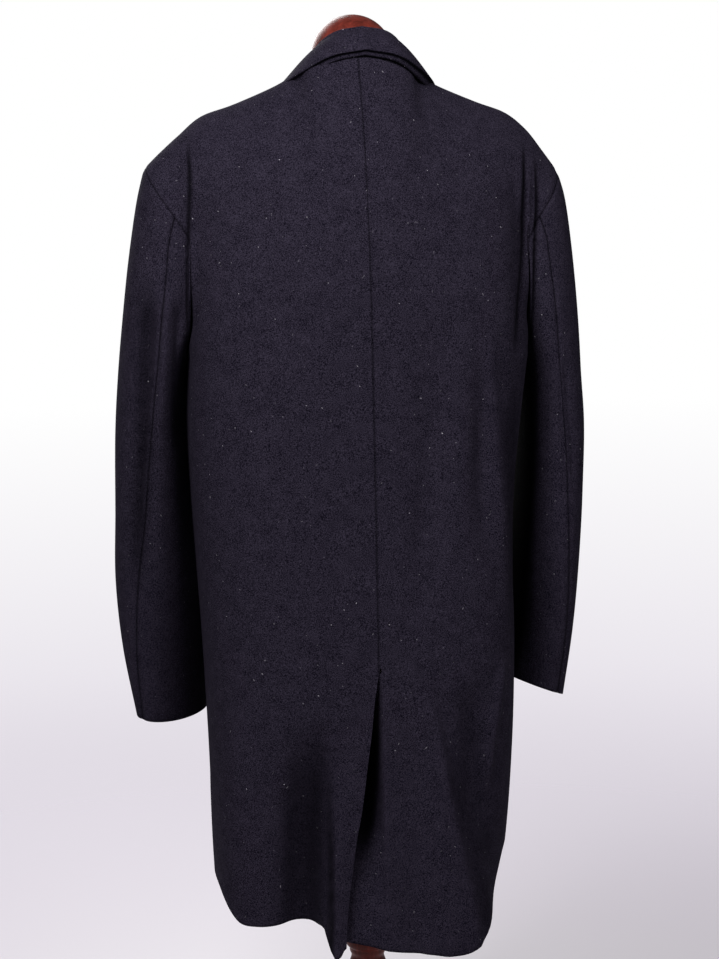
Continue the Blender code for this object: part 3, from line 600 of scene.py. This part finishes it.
def sleevePanel(side, upper):
    part = np.concatenate([[0.0, 0.0018, 0.0036], np.linspace(0.007, 1, steps(0.62, bodyCut["step"]))])
    seam = curveAt(sleeveLook["hindSeam"], part)[..., 1]
    fore = np.full(part.shape, sleeveLook["foreSeam"])
    first, last = (fore - 360.0, seam) if upper else (seam, fore)
    share = np.linspace(0.016, 0.984, steps(0.19, bodyCut["step"]) + 1)
    share = np.concatenate([[0.0, 0.0055, 0.0105], share, [0.9895, 0.9945, 1.0]])
    angle = first[:, None] + (last - first)[:, None] * share
    points = sleevePoint(side, part[:, None] + 0 * angle, angle)
    part, facing = part[:, None], angle % 360
    middle, spread = sleeveLook["leanAt"]
    lean = sleeveLook["lean"][side] * smooth(part, 0.05, 0.25) * (1 - smooth(part, 0.75, 1.0))
    points[..., 0] -= side * lean * np.exp(-(((facing - middle) / spread) ** 2))
    # painted shade on the side of the sleeve that faces the body, fading in near the armhole
    shadeMask = smooth(facing, *sleeveLook["shadeFrom"]) * (1 - smooth(facing, *sleeveLook["shadeTo"]))
    shadeMask = sleeveLook["shade"][side] * shadeMask * smooth(part, 0.04, 0.22)
    part = part[:, 0]
    outer, inner = sleevePoint(side, part, 0 * part), sleevePoint(side, part, 180 + 0 * part)
    return points, ((outer + inner) / 2)[:, None, :], shadeMask


collarCut = {
    "rows": (
        # fold x, y, z, edge x, y, z, from the centre back to the front end
        (0.0, 0.063, 1.531, 0.0, 0.088, 1.503),
        (0.028, 0.0565, 1.527, 0.0385, 0.082, 1.4965),
        (0.0455, 0.039, 1.518, 0.068, 0.06, 1.482),
        (0.0535, 0.009, 1.506, 0.089, 0.024, 1.4685),
        (0.054, -0.024, 1.487, 0.097, -0.022, 1.4585),
        (0.052, -0.052, 1.46, 0.095, -0.064, 1.435),
        (0.049, -0.076, 1.43, 0.084, -0.098, 1.404),
    ),
    "shift": 0.0045,  # the collar sits this far towards the wearer's right
    "roll": 0.0032,
    "arch": 0.0048,
    "wall": 0.0028,
    "standWall": 0.0020,
    "under": (
        # the second edge below the fall's edge: how far in, how far down, how dark its painted shadow is
        (0.0012, 0.0004, 0.5),
        (0.0028, 0.0009, 0.9),
        (0.0034, 0.0018, 0.6),
        (0.0031, 0.0032, 0.0),
        (0.0032, 0.0048, 0.0),
        (0.004, 0.0064, 0.4),
    ),
    "underReach": (1.0, 0.46, 0.22),  # it reaches this much further near this place, over this width
}


def collarFrame():
    places = np.linspace(-1, 1, 2 * steps(0.20, 0.003) + 1)
    sign = np.where(places < 0, 1.0, -1.0)
    rows = orderedAt(collarCut["rows"], abs(places))
    flip, shift = together(sign, 1.0, 1.0), (collarCut["shift"], 0, 0)
    fold, edge = rows[:, :3] * flip - shift, rows[:, 3:] * flip - shift
    return places, fold, edge, unit(fold * (1, 1, 0))


def fallPoints():
    places, fold, edge, outward = collarFrame()
    radius = collarCut["roll"]
    rise = np.array((0, 0, 1.0))
    fold = fold - rise * radius
    grid = []
    for angle in np.radians(np.linspace(170, 0, 9)):
        grid.append(fold + outward * radius * (math.cos(angle) - 1) + rise * radius * math.sin(angle))
    for part in np.linspace(0, 1, steps(0.05, 0.0025) + 1)[1:]:
        point = fold + (edge - fold) * part
        point[:, 2] += collarCut["arch"] * math.sin(math.pi * part)
        grid.append(point)
    shadeAmount = [0.0] * len(grid)
    further, middle, width = collarCut["underReach"]
    reach = 1 + further * np.exp(-(((abs(places) - middle) / width) ** 2))
    # the rows of the second edge carry the painted shadow under the fall's edge
    for inward, down, shadeStrength in collarCut["under"]:
        grid.append(edge - outward * inward - rise * (down * reach)[:, None])
        shadeAmount.append(shadeStrength)
    grid = np.array(grid)
    return grid, np.array(shadeAmount)[:, None] + 0 * grid[..., 0]


def standPoints():
    places, fold, _, outward = collarFrame()
    along, left = abs(places), (places < 0)[:, None]
    back = neckPoint(1, np.minimum(along * 2, 1))
    back = np.where(left, back, back * (-1, 1, 1))
    down = 1 - np.maximum(along - 0.5, 0) * 0.4
    front = np.where(left, rollLine(1, down), rollLine(-1, down))
    seam = np.where((along <= 0.5)[:, None], back, front)
    seam = seam + np.array((0, 0, 0.0012)) - outward * 0.0012
    top = fold - np.array((0, 0, 0.0060)) - outward * 0.0035
    return np.array([seam + (top - seam) * part for part in np.linspace(0, 1, 12)])


lapelCut = {"rest": 0.0042, "top": 0.74, "feet": {1: 0.06, -1: 0.32}, "widths": (0.03, 0.40)}


def lapelPoints(side):
    start = lapelCut["feet"][side]
    part = np.linspace(0, 1, steps(0.30, 0.004) + 1)[:, None]
    across = np.linspace(0, 1, steps(0.10, 0.004) + 1)[None, :]
    height = start + (lapelCut["top"] - start) * part
    width = lapelCut["widths"][0] + lapelCut["widths"][1] * np.sin(part * math.pi / 2) ** 1.3
    column = 1 - width * across - 0.004
    return upperFront(side, column, height - 0.06 * across * part)


class Wire:  # a shader socket that takes the usual operators
    def __init__(self, tree, socket):
        self.tree, self.socket = tree, socket

    def node(self, kind, settings=None, values=None, out=0):
        return makeNode(self.tree, kind, settings, values, out)

    def maths(self, operation, *others):
        return self.node("ShaderNodeMath", {"operation": operation}, dict(enumerate(others)))

    def __add__(self, other):
        return self.maths("ADD", self, other)

    def __radd__(self, other):
        return self.maths("ADD", other, self)

    def __sub__(self, other):
        return self.maths("SUBTRACT", self, other)

    def __rsub__(self, other):
        return self.maths("SUBTRACT", other, self)

    def __mul__(self, other):
        return self.maths("MULTIPLY", self, other)

    def clamped(self, low, high):
        return self.node("ShaderNodeMapRange", {"clamp": True}, {0: self, 1: low, 2: high, 3: 0.0, 4: 1.0})


def makeNode(tree, kind, settings=None, values=None, out=0):
    made = tree.nodes.new(kind)
    for name, value in (settings or {}).items():
        setattr(made, name, value)
    for name, value in (values or {}).items():
        target = made.inputs[name]
        if isinstance(value, Wire):
            tree.links.new(value.socket, target)
        else:
            target.default_value = value
    return Wire(tree, made.outputs[out])


def newMaterial(name):
    made = bpy.data.materials.new(name)
    made.use_nodes = True
    tree = made.node_tree
    place = makeNode(tree, "ShaderNodeTexCoord", out=3)
    return made, tree, tree.nodes["Principled BSDF"], place


def mixed(tree, factor, first, second):  # colours are three numbers or the socket of a node
    first, second = (value if isinstance(value, Wire) else (*value, 1.0) for value in (first, second))
    return makeNode(tree, "ShaderNodeMix", {"data_type": "RGBA"}, {0: factor, 6: first, 7: second}, 2)


def noise(tree, place, scale, detail, rough=0.5, swirl=0.0, out=0):
    values = {"Vector": place, "Scale": scale, "Detail": detail, "Roughness": rough, "Distortion": swirl}
    return makeNode(tree, "ShaderNodeTexNoise", None, values, out)


def joined(tree, shader, look, base, height=None, rough=None):  # what a look gives to its shader
    tree.links.new(base.socket, shader.inputs["Base Color"])
    for name, value in look["values"].items():
        shader.inputs[name].default_value = value
    if rough:
        tree.links.new(rough.socket, shader.inputs["Roughness"])
    if height:
        strength, distance = look["bump"]
        values = {"Strength": strength, "Distance": distance, "Height": height}
        bump = makeNode(tree, "ShaderNodeBump", None, values)
        tree.links.new(bump.socket, shader.inputs["Normal"])


woolLook = {
    "dark": (0.0022, 0.0017, 0.0044),
    "light": (0.0255, 0.0212, 0.0340),
    "lint": (0.36, 0.34, 0.38),
    # the colour of the painted shade
    "shadeColour": (0.0004, 0.0003, 0.0008),
    # scale, detail and roughness of each noise
    "felt": (60.0, 3.0, 0.6),
    "nap": (900.0, 1.0, 0.6),
    "sway": (90.0, 1.0),
    "swayReach": 0.010,
    "shares": (0.16, 0.84),  # of felt and nap
    "span": (0.37, 0.65),  # their sum at the dark and at the light end
    "flecks": (
        # turn, how long, cells a metre, half width in cells, share of the cells, strength
        (0.6, 1.6, 120.0, 0.07, 0.7, 0.8),
        (-0.6, 7.0, 120.0, 0.047, 0.75, 0.6),
    ),
    "values": {
        "Roughness": 0.92,
        "Sheen Weight": 0.004,
        "Sheen Roughness": 0.45,
        "Sheen Tint": (0.75, 0.66, 1.0, 1.0),
        "Specular IOR Level": 0.02,
    },
    "bump": (0.6, 0.0007),  # strength, distance
}


def flecks(tree, place, turn, longer, cells, half, share):  # short threads lying every way
    values = {"Vector": place, "Rotation": (0.0, turn, 0.0), "Scale": (1.0, 1.0, longer)}
    drawn = makeNode(tree, "ShaderNodeMapping", {"vector_type": "TEXTURE"}, values)
    spot = {"Vector": drawn, "Scale": cells, "Randomness": 1.0}
    gap = makeNode(tree, "ShaderNodeTexVoronoi", None, spot)
    pick = makeNode(tree, "ShaderNodeTexVoronoi", None, spot, 1)
    chance = makeNode(tree, "ShaderNodeSeparateColor", None, {0: pick}, 0)
    power = makeNode(tree, "ShaderNodeSeparateColor", None, {0: pick}, 1)
    thread = 1.0 - gap.clamped(half * 0.6, half)
    return thread * (1.0 - chance.clamped(share - 0.01, share)) * (power * power * 0.8 + 0.2)


def vectorMaths(tree, operation, values):
    return makeNode(tree, "ShaderNodeVectorMath", {"operation": operation}, values)


def woolMaterial():
    made, tree, shader, place = newMaterial("dark_navy_wool")
    felt, nap = (noise(tree, place, *woolLook[name]) for name in ("felt", "nap"))
    first, second = woolLook["shares"]
    mottled = (felt * first + nap * second).clamped(*woolLook["span"])
    base = mixed(tree, mottled, woolLook["dark"], woolLook["light"])
    sway = noise(tree, place, *woolLook["sway"], out=1)
    sway = vectorMaths(tree, "SUBTRACT", {0: sway, 1: (0.5, 0.5, 0.5)})
    sway = vectorMaths(tree, "SCALE", {0: sway, 3: woolLook["swayReach"]})
    bent = vectorMaths(tree, "ADD", {0: place, 1: sway})
    lint = 0.0
    for *shape, strength in woolLook["flecks"]:
        lint = flecks(tree, bent, *shape) * strength + lint
    base = mixed(tree, lint.clamped(0.0, 1.0), base, woolLook["lint"])
    # painted shade: the points' shade layer darkens the colour towards the shade colour
    painted_shade = makeNode(tree, "ShaderNodeAttribute", {"attribute_name": "painted_shade"}, None, 2)
    base = mixed(tree, painted_shade, base, woolLook["shadeColour"])
    joined(tree, shader, woolLook, base, nap)
    return made


woodLook = {
    "dark": (0.036, 0.0052, 0.0032),
    "light": (0.130, 0.0190, 0.0125),
    "stretch": (18.0, 18.0, 2.2),
    "grain": (6.0, 6.0, 0.65, 0.6),
    "pores": (55.0, 3.0, 0.6),
    "span": (0.35, 0.66),
    "roughness": (0.38, 0.12),  # and how much the pores add
    "values": {"Specular IOR Level": 0.12, "Coat Weight": 0.02, "Coat Roughness": 0.12},
    "bump": (0.15, 0.0004),
}


def woodMaterial():
    made, tree, shader, place = newMaterial("red_brown_wood")
    drawn = makeNode(tree, "ShaderNodeMapping", None, {"Vector": place, "Scale": woodLook["stretch"]})
    grain, pores = (noise(tree, drawn, *woodLook[name]) for name in ("grain", "pores"))
    tone = (grain * 0.75 + pores * 0.25).clamped(*woodLook["span"])
    base = mixed(tree, tone, woodLook["dark"], woodLook["light"])
    rough, more = woodLook["roughness"]
    joined(tree, shader, woodLook, base, pores, rough + pores * more)
    return made


jerseyLook = {
    "base": (0.62, 0.56, 0.46),
    "shade": (0.50, 0.45, 0.37),
    "ribs": {"Scale": 160.0, "Distortion": 1.2, "Detail": 2.0},
    "fuzz": (700.0, 3.0),
    "values": {"Roughness": 0.9, "Sheen Weight": 0.3},
    "bump": (0.3, 0.0004),
}


def jerseyMaterial():
    made, tree, shader, place = newMaterial("cream_jersey")
    values = {"Vector": place, **jerseyLook["ribs"]}
    ribs = makeNode(tree, "ShaderNodeTexWave", {"bands_direction": "Z"}, values)
    fuzz = noise(tree, place, *jerseyLook["fuzz"])
    tone = (ribs * 0.5 + fuzz * 0.5).clamped(0.2, 0.8)
    base = mixed(tree, tone, jerseyLook["shade"], jerseyLook["base"])
    joined(tree, shader, jerseyLook, base, ribs + fuzz * 0.5)
    return made


buttonLook = {
    "dark": (0.008, 0.007, 0.008),
    "light": (0.030, 0.024, 0.024),
    "swirl": (90.0, 4.0, 0.5, 1.5),
    "roughness": (0.28, 0.15),
    "values": {},
}


def buttonMaterial():
    made, tree, shader, place = newMaterial("black_button")
    swirl = noise(tree, place, *buttonLook["swirl"])
    base = mixed(tree, swirl.clamped(0.4, 0.65), buttonLook["dark"], buttonLook["light"])
    rough, more = buttonLook["roughness"]
    joined(tree, shader, buttonLook, base, rough=rough + swirl * more)
    return made


wool = woolMaterial()
wood = woodMaterial()
jersey = jerseyMaterial()
horn = buttonMaterial()
print("materials made")


# the folds of the back and the sleeves, seen from behind: a path is a row of points (x, z)
leftPleat = (
    (0.1986, 1.3594), (0.2009, 1.3254), (0.203, 1.2912),
    (0.2052, 1.257), (0.2062, 1.2226), (0.206, 1.15),
)
rightPleat = (
    (-0.1954, 1.405), (-0.1905, 1.3528), (-0.1874, 1.3181),
    (-0.185, 1.2775), (-0.179, 1.235), (-0.1726, 1.1924),
)
rightFold = (
    (-0.209, 1.385), (-0.2075, 1.3293), (-0.2033, 1.2886),
    (-0.2009, 1.2478), (-0.2, 1.2128), (-0.2001, 1.15),
)
ventFold = ((0.0615, 0.6683), (0.062, 0.6096), (0.0626, 0.5509), (0.0638, 0.5031), (0.0667, 0.44))
sleeveTrough = ((0.2529, 1.26), (0.2529, 1.223), (0.2585, 1.1313), (0.2638, 1.0376), (0.2715, 0.9416))

# soft creases: half width, how far out, fades at the path's start and end, path
backCreases = {
    1: (
        (0.024, -0.003, (0.2, 0.3), ((0.118, 1.36), (0.118, 1.27), (0.108, 1.15))),
        (0.02, -0.008, (0.4, 0), (
            (0.086, 0.74), (0.0895, 0.6667), (0.0924, 0.6039), (0.0969, 0.5419), (0.1026, 0.48),
        )),
        (0.018, 0.005, (0.4, 0), ((0.15, 0.8), (0.158, 0.719), (0.169, 0.624), (0.169, 0.48))),
    ),
    -1: (
        (0.022, -0.004, (0.2, 0.3), (
            (-0.076, 1.231), (-0.068, 1.129), (-0.062, 1.014), (-0.054, 0.921), (-0.044, 0.827),
        )),
        (0.009, 0.005, (0.2, 0.3), (
            (-0.141, 1.22), (-0.143, 1.116), (-0.147, 1.075), (-0.153, 1.013), (-0.159, 0.9),
            (-0.158, 0.8),
        )),
        (0.006, 0.004, (0.2, 0.3), (
            (-0.1965, 1.38), (-0.194, 1.335), (-0.193, 1.29), (-0.19, 1.24), (-0.186, 1.18),
        )),
        (0.016, -0.007, (0.2, 0.3), ((-0.108, 0.78), (-0.11, 0.7), (-0.11, 0.64), (-0.122, 0.57))),
        (0.007, 0.006, (0.2, 0.3), ((-0.1529, 0.8), (-0.1334, 0.6991), (-0.1277, 0.6563), (-0.1348, 0.61))),
    ),
}
# the same on the sleeves
sleeveCreases = {
    1: (
        (0.013, -0.009, (0.2, 0.3), (*sleeveTrough, (0.272, 0.88))),
        (0.009, 0.005, (0.2, 0.3), ((0.23, 1.24), (0.236, 1.18), (0.24, 1.12), (0.246, 1.05))),
        (0.008, -0.007, (0.2, 0.3), ((0.2135, 1.24), (0.216, 1.18), (0.218, 1.1), (0.22, 1.02))),
    ),
    -1: (
        (0.016, -0.005, (0.2, 0.3), ((-0.236, 1.16), (-0.243, 1.06), (-0.246, 0.95))),
    ),
}
# creases with a low side: which, edge, length to recover, depth, crest, fades at foot and top, path
drapes = {
    1: (
        (1, 0.0022, 0.024, 0.012, 0.002, (0.05, 0.06), ((0.199, 1.415), *leftPleat)),
        (1, 0.0026, 0.06, 0.014, 0.002, (0.001, 0.2), ((0.059, 0.76), *ventFold)),
    ),
    -1: (
        (-1, 0.0022, 0.009, 0.01, 0.002, (0.08, 0.06), (*rightPleat, (-0.168, 1.13))),
        (-1, 0.002, 0.012, 0.01, 0.001, (0.05, 0.05), rightFold),
        (-1, 0.005, 0.05, 0.008, 0.002, (0.14, 0.12), (
            (-0.143, 1.22), (-0.143, 1.116), (-0.147, 1.075), (-0.153, 1.013), (-0.159, 0.961),
            (-0.163, 0.8),
        )),
        (-1, 0.004, 0.03, 0.011, 0.003, (0.001, 0.12), (
            (-0.06, 0.8), (-0.0646, 0.7565), (-0.0754, 0.7026), (-0.0846, 0.637), (-0.1027, 0.5496),
            (-0.1128, 0.5117), (-0.122, 0.45),
        )),
    ),
}
# painted shade where the cloth is shut: half width, how dark, fades at foot and top, path
shadeLines = {
    1: (
        (0.0013, 0.6, (0.01, 0.01), ((0.004, 1.52), (0.003, 1.334), (0.002, 1.109), (0.002, 0.785))),
        (0.002, 0.85, (0.04, 0.04), ((0.199, 1.41), *leftPleat)),
        (0.011, 0.52, (0.04, 0.14), ((0.07, 0.78), (0.073, 0.7), (0.078, 0.6), (0.084, 0.44))),
        (0.024, 0.48, (0.05, 0.16), ((0.0895, 0.78), (0.0924, 0.6039), (0.0969, 0.5419), (0.108, 0.44))),
        (0.0024, 0.85, (0.01, 0.2), ((0.0595, 0.72), *ventFold)),
    ),
    -1: (
        (0.0028, 0.95, (0.04, 0.05), (*rightPleat, (-0.17, 1.16))),
        (0.01, 0.38, (0.06, 0.06), ((-0.18, 1.35), (-0.176, 1.28), (-0.168, 1.2), (-0.164, 1.13))),
        (0.0022, 0.95, (0.01, 0.05), rightFold),
        (0.0085, 0.42, (0.03, 0.1), (
            (-0.08, 0.74), (-0.092, 0.637), (-0.111, 0.5496), (-0.122, 0.5117), (-0.132, 0.45),
        )),
        (0.018, 0.4, (0.04, 0.1), ((-0.106, 0.8), (-0.112, 0.7), (-0.114, 0.637), (-0.128, 0.54))),
        (0.013, 0.45, (0.12, 0.1), ((-0.163, 1.17), (-0.165, 1.08), (-0.172, 0.95), (-0.176, 0.78))),
    ),
}
# the same painted shade on the sleeves alone
sleeveShadeLines = {
    1: (
        (0.011, 0.6, (0.12, 0.06), (*sleeveTrough, (0.272, 0.84))),
    ),
    -1: (),
}


def place(piece, node, flat, area):
    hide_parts(node)


loose = (plain,) * 4
for side, word in ((1, "left"), (-1, "right")):
    wall = bodyCut["wall"]
    folds = (backCreases[side], drapes[side], shadeLines[side])
    points, shadeMask = backPanel(side)
    edges = (plain, sewn, plain, sewn)
    piece = addCloth("back_panel_" + word, points, axisOf(points), edges, wall, folds, shadeMask)
    place(piece, "back_" + word, (0.32, 1.10), 0.29)
    points = frontPanel(side)
    edges = (plain, sewn, sewn, plain)
    piece = addCloth("front_panel_" + word, points, axisOf(points), edges, wall)
    place(piece, "front_" + word, (0.34, 1.05), 0.29)
    folds = (sleeveCreases[side], drapes[side], shadeLines[side] + sleeveShadeLines[side])
    edges = (sewn, plain, sewn, sewn)
    for kind, size, area in (("upper", (0.26, 0.70), 0.125), ("under", (0.19, 0.60), 0.085)):
        points, middles, shadeMask = sleevePanel(side, kind == "upper")
        piece = addCloth(f"sleeve_{kind}_cloth_{word}", points, middles, edges, wall, folds, shadeMask)
        place(piece, f"sleeve_{kind}_{word}", size, area)
    points = lapelPoints(side)
    points = points + outwardOf(points, axisOf(points)) * lapelCut["rest"]
    piece = addCloth("lapel_cloth_" + word, points, axisOf(points), loose, wall)
    place(piece, "lapel_" + word, (0.12, 0.28), (0.016 if side > 0 else 0.0102))
print("coat's body and sleeves made")
points = standPoints()
piece = addCloth("collar_stand_cloth", points, axisOf(points), loose, collarCut["standWall"])
place(piece, "collar_stand", (0.04, 0.42), 0.0113)
points, shadeMask = fallPoints()
piece = addCloth("collar_fall_cloth", points, axisOf(points), loose, collarCut["wall"], shaded=shadeMask)
place(piece, "collar_fall", (0.08, 0.50), 0.0265)
print("collar made")

# the stand's turned pieces: their outlines as (radius, height) from the top down
turnedLook = {
    "segments": 96,
    "samples": 5,
    "cap": (0.049, 1.500, 1.4983),  # radius, height of the widest place, foot
    "post": (
        (0.024, 0.7446), (0.024, 0.6), (0.0232, 0.454), (0.0218, 0.45), (0.0245, 0.447),
        (0.0248, 0.4438), (0.0224, 0.4415), (0.0252, 0.4388), (0.0254, 0.4356), (0.0229, 0.4333),
        (0.0256, 0.4306), (0.0258, 0.4274), (0.0233, 0.4251), (0.0258, 0.4224), (0.026, 0.4192),
        (0.0235, 0.4169), (0.0262, 0.4142), (0.0268, 0.41), (0.0262, 0.405), (0.023, 0.402),
        (0.0225, 0.397), (0.0205, 0.39), (0.025, 0.376), (0.0262, 0.368), (0.025, 0.36),
        (0.0215, 0.352), (0.029, 0.346), (0.0315, 0.332), (0.029, 0.318), (0.0225, 0.312),
        (0.0214, 0.285), (0.0208, 0.25), (0.0212, 0.2), (0.027, 0.12), (0.036, 0.07),
        (0.047, 0.056), (0.051, 0.048), (0.0515, 0.042), (0.05, 0.0345),
    ),
    "base": (
        (0.0001, 0.034), (0.05, 0.034), (0.09, 0.034), (0.105, 0.033), (0.11, 0.0305),
        (0.115, 0.03), (0.15, 0.0272), (0.17, 0.0252), (0.1725, 0.0222), (0.18, 0.021),
        (0.187, 0.017), (0.1895, 0.011), (0.1895, 0.005), (0.187, 0.001), (0.184, 0.0002),
        (0.0001, 0.0002),
    ),
}


def addTurned(name, node, outline):
    source = bmesh.new()
    spots = [source.verts.new((radius, 0.0, height)) for radius, height in outline]
    edges = [source.edges.new(pair) for pair in zip(spots, spots[1:])]
    whole = {"cent": (0, 0, 0), "axis": (0, 0, 1), "angle": 2 * math.pi, "steps": turnedLook["segments"]}
    bmesh.ops.spin(source, geom=spots + edges, **whole)
    bmesh.ops.remove_doubles(source, verts=source.verts, dist=0.0001)
    bmesh.ops.holes_fill(source, edges=source.edges, sides=0)
    bmesh.ops.recalc_face_normals(source, faces=source.faces)
    piece = addMesh(name, source, wood)
    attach(piece, "root")
    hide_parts(node)


def curved(outline, samples):  # a smooth curve through an outline's points
    return orderedAt(outline, np.linspace(0, 1, (len(outline) - 1) * samples + 1))


radius, middle, foot = turnedLook["cap"]
turns = np.radians(np.linspace(0.2, 90, 31))
outline = [(radius * math.sin(turn), middle + radius * math.cos(turn)) for turn in turns]
outline += [(radius, foot + 0.0010), (radius - 0.0010, foot), (0.0001, foot)]
addTurned("turned_neck_cap", "neck_cap", outline)
addTurned("turned_post", "stand_post", curved(turnedLook["post"], turnedLook["samples"]))
addTurned("turned_base", "stand_base", turnedLook["base"])
for name, look in (("form_torso", jersey), ("button_1", horn), ("button_2", horn), ("button_3", horn)):
    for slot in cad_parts[name].material_slots:
        slot.material = look
print("stand and buttons made")

# the camera stands where the photo was taken from
shot = {
    "turn": 7.5,  # degrees round the stand from straight behind
    "distance": 2.4,
    "height": 1.35,
    "down": 8.4,
    "roll": -1.0,
    "sensor": 36.0,
    "focalPixels": 1992.0,
    "frame": (719, 959),
}
turn, down, roll = (math.radians(shot[name]) for name in ("turn", "down", "roll"))
forward = Vector((-math.sin(turn) * math.cos(down), -math.cos(turn) * math.cos(down), -math.sin(down)))
level = Vector((-math.cos(turn), math.sin(turn), 0.0))
upright = level.cross(forward)
right = math.cos(roll) * level + math.sin(roll) * upright
up = -math.sin(roll) * level + math.cos(roll) * upright
cameraData = bpy.data.cameras.new("camera")
camera = bpy.data.objects.new("camera", cameraData)
bpy.context.scene.collection.objects.link(camera)
camera.matrix_world = Matrix((
    (right.x, up.x, -forward.x, shot["distance"] * math.sin(turn)),
    (right.y, up.y, -forward.y, shot["distance"] * math.cos(turn)),
    (right.z, up.z, -forward.z, shot["height"]),
    (0, 0, 0, 1),
))
cameraData.sensor_width = shot["sensor"]
cameraData.lens = shot["sensor"] * shot["focalPixels"] / max(shot["frame"])
bpy.context.scene.camera = camera

stageLook = {
    "floorRadius": 3.4,
    "floorFade": 0.9,  # the floor fades out from this radius on
    "floorDrop": 0.0015,
    "floor": (0.80, 0.77, 0.81),
    "surround": 14.0,
    "low": (0.66, 0.60, 0.70),  # the surround's tone far down
    "high": (1.0, 1.0, 1.0),
    "fade": (-4.6, -0.4),
    "sky": (1.0, 0.98, 1.0),
    "strength": 0.15,
}
source = bmesh.new()
bmesh.ops.create_circle(source, cap_ends=True, cap_tris=True, segments=96, radius=stageLook["floorRadius"])
bmesh.ops.translate(source, verts=source.verts, vec=(0, 0, -stageLook["floorDrop"]))
paper, tree, shader, spot = newMaterial("floor_paper")
reach = makeNode(tree, "ShaderNodeVectorMath", {"operation": "LENGTH"}, {0: spot}, 1)
shader.inputs["Base Color"].default_value = (*stageLook["floor"], 1.0)
shader.inputs["Roughness"].default_value = 0.9
fading = 1.0 - reach.clamped(stageLook["floorFade"], stageLook["floorRadius"] * 0.97)
tree.links.new((fading * fading).socket, shader.inputs["Alpha"])
addMesh("floor", source, paper, rounded=False)


def addLight(name, place, target, size, power):
    data = bpy.data.lights.new(name, "AREA")
    data.shape, data.size, data.energy = "SQUARE", size, power
    light = bpy.data.objects.new(name, data)
    light.location = place
    light.rotation_euler = (Vector(target) - Vector(place)).to_track_quat("-Z", "Y").to_euler()
    bpy.context.scene.collection.objects.link(light)


lights = {
    # place, target, size, power
    "key": ((0.9, 1.45, 2.6), (0, 0, 1.35), 0.8, 66),
    "fill": ((-0.9, 1.6, 2.5), (0, 0, 1.35), 1.0, 26),
    "front": ((0.6, -2.4, 2.4), (0, 0, 1.2), 1.4, 60),
}
for name, values in lights.items():
    addLight(name, *values)
print("camera and lights made")
source = bmesh.new()
bmesh.ops.create_uvsphere(source, u_segments=48, v_segments=32, radius=stageLook["surround"])
bmesh.ops.reverse_faces(source, faces=source.faces[:])
paper, tree, shader, spot = newMaterial("surround_paper")
height = makeNode(tree, "ShaderNodeSeparateXYZ", None, {0: spot}, 2)
tone = mixed(tree, height.clamped(*stageLook["fade"]), stageLook["low"], stageLook["high"])
shader.inputs["Base Color"].default_value = (0, 0, 0, 1)
shader.inputs["Specular IOR Level"].default_value = 0.0
tree.links.new(tone.socket, shader.inputs["Emission Color"])
shader.inputs["Emission Strength"].default_value = 1.0
surround = addMesh("surround", source, paper)
surround.visible_diffuse = surround.visible_glossy = surround.visible_shadow = False
surround.visible_transmission = surround.visible_volume_scatter = False
world = bpy.data.worlds.new("world")
bpy.context.scene.world = world
world.use_nodes = True
background = world.node_tree.nodes["Background"]
background.inputs["Color"].default_value = (*stageLook["sky"], 1.0)
background.inputs["Strength"].default_value = stageLook["strength"]
bpy.context.scene.view_settings.view_transform = "Standard"
print("stage made")
